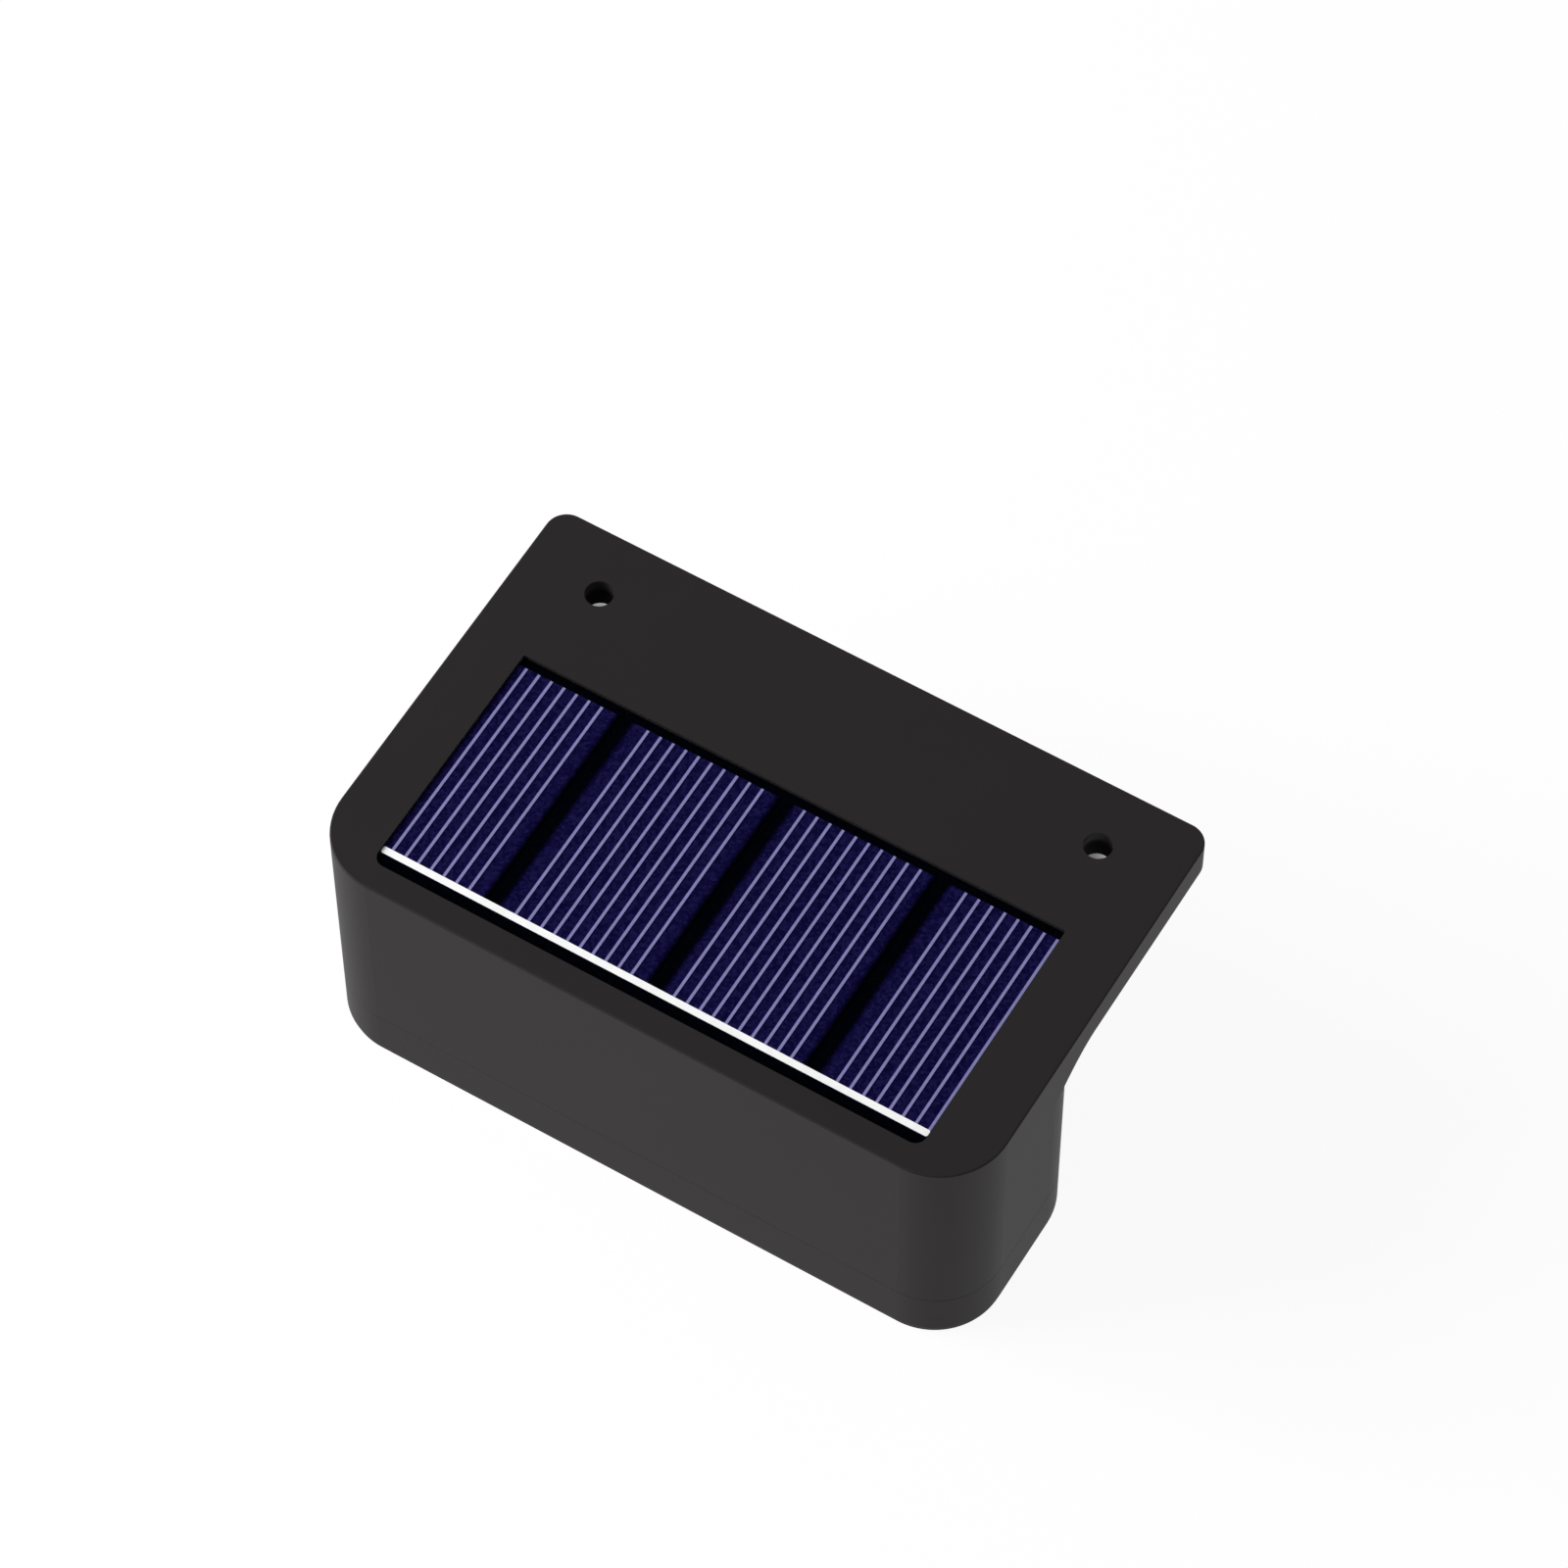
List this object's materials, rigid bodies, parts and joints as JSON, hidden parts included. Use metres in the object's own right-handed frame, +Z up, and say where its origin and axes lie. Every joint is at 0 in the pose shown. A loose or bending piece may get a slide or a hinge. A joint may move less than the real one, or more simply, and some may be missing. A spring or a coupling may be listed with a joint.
{
  "type": "solar step light",
  "caption": "Black solar step light: flat flange with screw holes, a panel set in the roof, and a round-cornered body that shines down from its underside.",
  "frame": {"origin": "midway between the two flange holes, on the flange's underside, which lies on the tread", "axes": "+Z up, -Y towards the front of the light, +X to its right as seen from the front"},
  "size_m": [0.115, 0.0727, 0.0483],
  "materials": {
    "housing_black": "satin black moulding",
    "cover_black": "satin black moulding",
    "gasket_rubber": "soft seal",
    "screw_steel": "plated screw",
    "panel_black": "black laminate",
    "cell_blue": "blue silicon",
    "finger_silver": "printed silver lines",
    "busbar_white": "white strip",
    "film_clear": "clear film",
    "tape_foam": "foam tape",
    "lens_frosted": "frosted",
    "reflector_white": "white moulding",
    "board_green": "solder mask",
    "led_yellow": "phosphor",
    "chip_black": "chip body",
    "ferrite_grey": "ferrite",
    "sleeve_blue": "shrunk sleeve",
    "button_rubber": "soft button",
    "plunger_white": "nylon",
    "battery_green": "sleeved cell",
    "tab_nickel": "nickel strip",
    "cradle_grey": "inner moulding",
    "lead_red": "insulation",
    "lead_black": "insulation"
  },
  "bodies": {
    "housing": {"top_housing": "housing_black", "bottom_cover": "cover_black", "cover_gasket": "gasket_rubber", "cover_screws": "screw_steel", "panel_board": "panel_black", "panel_tape": "tape_foam", "solar_cell_1": "cell_blue", "solar_cell_2": "cell_blue", "solar_cell_3": "cell_blue", "solar_cell_4": "cell_blue", "cell_fingers": "finger_silver", "busbar": "busbar_white", "panel_film": "film_clear", "lens": "lens_frosted", "lens_seal": "gasket_rubber", "reflector": "reflector_white", "control_board": "board_green", "board_screws": "screw_steel", "leds": "led_yellow", "driver_chip": "chip_black", "inductor": "ferrite_grey", "capacitor": "sleeve_blue", "switch_body": "chip_black", "battery": "battery_green", "battery_tabs": "tab_nickel", "battery_cradle": "cradle_grey", "cradle_screws": "screw_steel", "battery_lead_red": "lead_red", "battery_lead_black": "lead_black", "panel_lead_red": "lead_red", "panel_lead_black": "lead_black"},
    "button": {"power_button": "button_rubber", "switch_plunger": "plunger_white"}
  },
  "joints": [
    {"name": "button_press", "type": "slide", "parent": "housing", "child": "button", "axis": [0, 0, 1], "range_m": [0, 0.0012], "stiffness_N_per_m": 400, "springref_m": -0.001}
  ]
}
